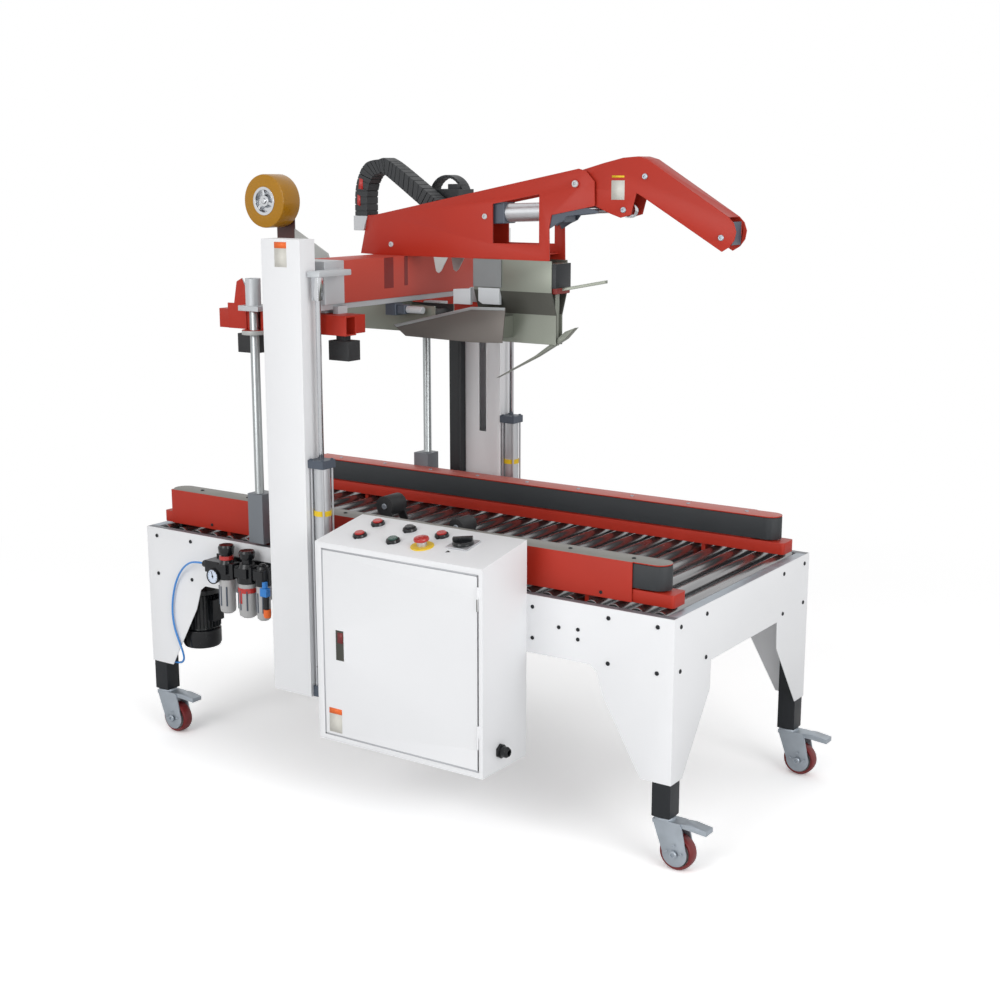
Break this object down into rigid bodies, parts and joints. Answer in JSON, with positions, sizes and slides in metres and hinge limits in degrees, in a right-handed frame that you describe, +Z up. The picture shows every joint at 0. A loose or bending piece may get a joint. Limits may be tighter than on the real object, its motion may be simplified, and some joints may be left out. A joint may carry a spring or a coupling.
{
  "type": "case sealer",
  "caption": "Free-standing carton sealer with a roller bed, side belts, a lifting head on two masts, a swinging flap folder and a control cabinet on its side.",
  "frame": {"origin": "on the floor under the middle of the table frame", "axes": "+X along the machine towards the infeed end, +Y across it away from the control cabinet, +Z up"},
  "size_m": [1.842, 1.0777, 1.692],
  "materials": {
    "panel_white": "white powder coat",
    "machine_red": "red powder coat",
    "post_black": "black paint",
    "frame_grey": "grey paint",
    "roller_zinc": "zinc plated tube",
    "column_steel": "ground steel",
    "rod_chrome": "polished rod",
    "cylinder_aluminium": "satin anodised tube",
    "plate_steel": "bent steel plate",
    "bracket_cast": "cast and painted light grey",
    "belt_rubber": "black belt",
    "roller_rubber": "black rubber",
    "motor_black": "black paint",
    "caster_zinc": "zinc plated fork",
    "caster_tread": "dark red tread",
    "control_plastic": "black and coloured plastic",
    "chain_plastic": "black plastic links",
    "tape_amber": "amber film",
    "hub_chrome": "plated hub",
    "hose_blue": "blue polyurethane hose",
    "air_unit": "black plastic with clear bowls"
  },
  "bodies": {
    "base": {"side_panel_near": "panel_white", "side_panel_far": "panel_white", "end_panel_infeed": "panel_white", "end_panel_outfeed": "panel_white", "leg_posts": "post_black", "bed_frame": "frame_grey", "bed_rollers": "roller_zinc", "bed_plates": "roller_zinc", "lower_tape_head": "frame_grey", "mast_near": "panel_white", "mast_far": "panel_white", "lift_cylinders": "cylinder_aluminium", "cabinet_shell": "panel_white", "panel_controls": "control_plastic", "cable_gland": "control_plastic", "air_service_unit": "air_unit", "cable_duct": "chain_plastic", "air_hose": "hose_blue", "hose_fitting": "rod_chrome"},
    "door": {"cabinet_door": "panel_white"},
    "front_arm": {"lower_front_arm": "roller_rubber"},
    "rear_arm": {"lower_rear_arm": "roller_rubber"},
    "belt_near": {"belt_base_near": "machine_red", "belt_loop_near": "belt_rubber", "belt_pulleys_near": "cylinder_aluminium", "belt_cover_near": "machine_red", "belt_motor_near": "motor_black", "belt_column_near": "column_steel"},
    "belt_far": {"belt_base_far": "machine_red", "belt_loop_far": "belt_rubber", "belt_pulleys_far": "cylinder_aluminium", "belt_cover_far": "machine_red", "belt_motor_far": "motor_black", "belt_column_far": "column_steel"},
    "head": {"crossbeam": "machine_red", "beam_ends": "bracket_cast", "lift_rods": "rod_chrome", "folding_arm": "machine_red", "fold_plates": "plate_steel", "ploughs": "plate_steel", "upper_tape_head": "plate_steel", "cable_chains": "chain_plastic"},
    "press_near": {"press_unit_near": "machine_red"},
    "press_far": {"press_unit_far": "machine_red"},
    "tape": {"tape_roll": "tape_amber", "tape_hub": "hub_chrome"},
    "kicker": {"kicker": "machine_red"},
    "kick_cylinder": {"kick_cylinder": "cylinder_aluminium"},
    "kick_rod": {"kick_rod": "rod_chrome"},
    "swivel_infeed_near": {"caster_fork_infeed_near": "caster_zinc"},
    "wheel_infeed_near": {"caster_wheel_infeed_near": "caster_tread"},
    "swivel_infeed_far": {"caster_fork_infeed_far": "caster_zinc"},
    "wheel_infeed_far": {"caster_wheel_infeed_far": "caster_tread"},
    "swivel_outfeed_near": {"caster_fork_outfeed_near": "caster_zinc"},
    "wheel_outfeed_near": {"caster_wheel_outfeed_near": "caster_tread"},
    "swivel_outfeed_far": {"caster_fork_outfeed_far": "caster_zinc"},
    "wheel_outfeed_far": {"caster_wheel_outfeed_far": "caster_tread"}
  },
  "joints": [
    {"name": "swivel_infeed_near", "type": "hinge", "parent": "base", "child": "swivel_infeed_near", "pos_m": [0.847, -0.367, 0.125], "axis": [0, 0, 1], "continuous": true},
    {"name": "wheel_infeed_near", "type": "hinge", "parent": "swivel_infeed_near", "child": "wheel_infeed_near", "pos_m": [0.885, -0.367, 0.045], "axis": [0, 1, 0], "continuous": true},
    {"name": "swivel_infeed_far", "type": "hinge", "parent": "base", "child": "swivel_infeed_far", "pos_m": [0.847, 0.367, 0.125], "axis": [0, 0, 1], "continuous": true},
    {"name": "wheel_infeed_far", "type": "hinge", "parent": "swivel_infeed_far", "child": "wheel_infeed_far", "pos_m": [0.885, 0.367, 0.045], "axis": [0, 1, 0], "continuous": true},
    {"name": "swivel_outfeed_near", "type": "hinge", "parent": "base", "child": "swivel_outfeed_near", "pos_m": [-0.847, -0.367, 0.125], "axis": [0, 0, 1], "continuous": true},
    {"name": "wheel_outfeed_near", "type": "hinge", "parent": "swivel_outfeed_near", "child": "wheel_outfeed_near", "pos_m": [-0.809, -0.367, 0.045], "axis": [0, 1, 0], "continuous": true},
    {"name": "swivel_outfeed_far", "type": "hinge", "parent": "base", "child": "swivel_outfeed_far", "pos_m": [-0.847, 0.367, 0.125], "axis": [0, 0, 1], "continuous": true},
    {"name": "wheel_outfeed_far", "type": "hinge", "parent": "swivel_outfeed_far", "child": "wheel_outfeed_far", "pos_m": [-0.809, 0.367, 0.045], "axis": [0, 1, 0], "continuous": true},
    {"name": "door_hinge", "type": "hinge", "parent": "base", "child": "door", "pos_m": [0.4495, -0.5905, 0.47], "axis": [0, 0, 1], "range_deg": [0, 110]},
    {"name": "front_arm_swing", "type": "hinge", "parent": "base", "child": "front_arm", "pos_m": [0.045, 0, 0.545], "axis": [0, -1, 0], "range_deg": [0, 38]},
    {"name": "rear_arm_swing", "type": "hinge", "parent": "base", "child": "rear_arm", "pos_m": [-0.19, 0, 0.545], "axis": [0, -1, 0], "range_deg": [0, 43]},
    {"name": "belt_near_slide", "type": "slide", "parent": "base", "child": "belt_near", "axis": [0, 1, 0], "range_m": [0, 0.209]},
    {"name": "belt_far_slide", "type": "slide", "parent": "base", "child": "belt_far", "axis": [0, -1, 0], "range_m": [0, 0.209]},
    {"name": "head_lift", "type": "slide", "parent": "base", "child": "head", "axis": [0, 0, 1], "range_m": [-0.36, 0]},
    {"name": "press_near_slide", "type": "slide", "parent": "head", "child": "press_near", "axis": [0, 1, 0], "range_m": [0, 0.209]},
    {"name": "press_far_slide", "type": "slide", "parent": "head", "child": "press_far", "axis": [0, -1, 0], "range_m": [0, 0.209]},
    {"name": "tape_spin", "type": "hinge", "parent": "head", "child": "tape", "pos_m": [-0.7, 0, 1.568], "axis": [0, 1, 0], "continuous": true},
    {"name": "kicker_swing", "type": "hinge", "parent": "head", "child": "kicker", "pos_m": [0.378, 0, 1.624], "axis": [0, 1, 0], "range_deg": [0, 55]},
    {"name": "kick_cylinder_tilt", "type": "hinge", "parent": "head", "child": "kick_cylinder", "pos_m": [0.073, 0, 1.544], "axis": [0, 1, 0], "range_deg": [0, 16]},
    {"name": "kick_rod_slide", "type": "slide", "parent": "kick_cylinder", "child": "kick_rod", "axis": [0.9993, 0, 0.0363], "range_m": [-0.102, 0]}
  ],
  "couplings": [
    {"joint": "belt_far_slide", "follows": "belt_near_slide", "ratio": 1},
    {"joint": "press_near_slide", "follows": "belt_near_slide", "ratio": 1},
    {"joint": "press_far_slide", "follows": "belt_near_slide", "ratio": 1},
    {"joint": "kick_cylinder_tilt", "follows": "kicker_swing", "ratio": 0.26},
    {"joint": "kick_rod_slide", "follows": "kicker_swing", "m_per_rad": -0.1021}
  ]
}
